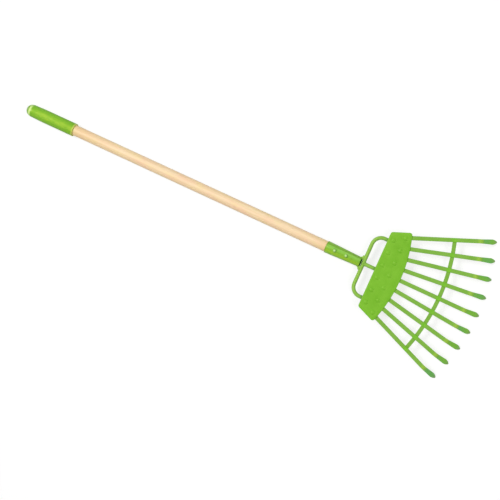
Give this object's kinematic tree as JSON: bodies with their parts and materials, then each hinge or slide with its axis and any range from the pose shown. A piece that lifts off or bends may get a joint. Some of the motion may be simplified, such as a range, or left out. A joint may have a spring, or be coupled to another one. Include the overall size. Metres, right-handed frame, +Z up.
{
  "type": "fan rake",
  "caption": "Child's fan rake for sand and leaves: wooden pole with a soft domed grip, painted steel ferrule, bent-rod yoke, riveted head and flat bent-tip tines.",
  "frame": {"origin": "under the middle of the rake's box, on the surface it lies on", "axes": "+X from the grip along the pole to the tine tips, +Y across the fan towards tine_9, +Z up, out of the fan's upper face"},
  "size_m": [0.9282, 0.2658, 0.0287],
  "materials": {
    "wood": "fine-sanded and thinly lacquered, satin",
    "grip_plastic": "dipped soft plastic, glossy",
    "green_paint": "powder-coated, half gloss"
  },
  "bodies": {
    "root": {"handle_pole": "wood", "grip_sleeve": "grip_plastic", "ferrule": "green_paint", "ferrule_rivets": "green_paint", "ferrule_welds": "green_paint", "yoke_bow": "green_paint", "centre_prong": "green_paint", "prong_weld": "green_paint", "lower_head_plate": "green_paint", "upper_head_plate": "green_paint", "head_rivets": "green_paint", "rod_welds": "green_paint", "cross_brace": "green_paint", "tine_1": "green_paint", "tine_2": "green_paint", "tine_3": "green_paint", "tine_4": "green_paint", "tine_5": "green_paint", "tine_6": "green_paint", "tine_7": "green_paint", "tine_8": "green_paint", "tine_9": "green_paint"}
  },
  "joints": []
}
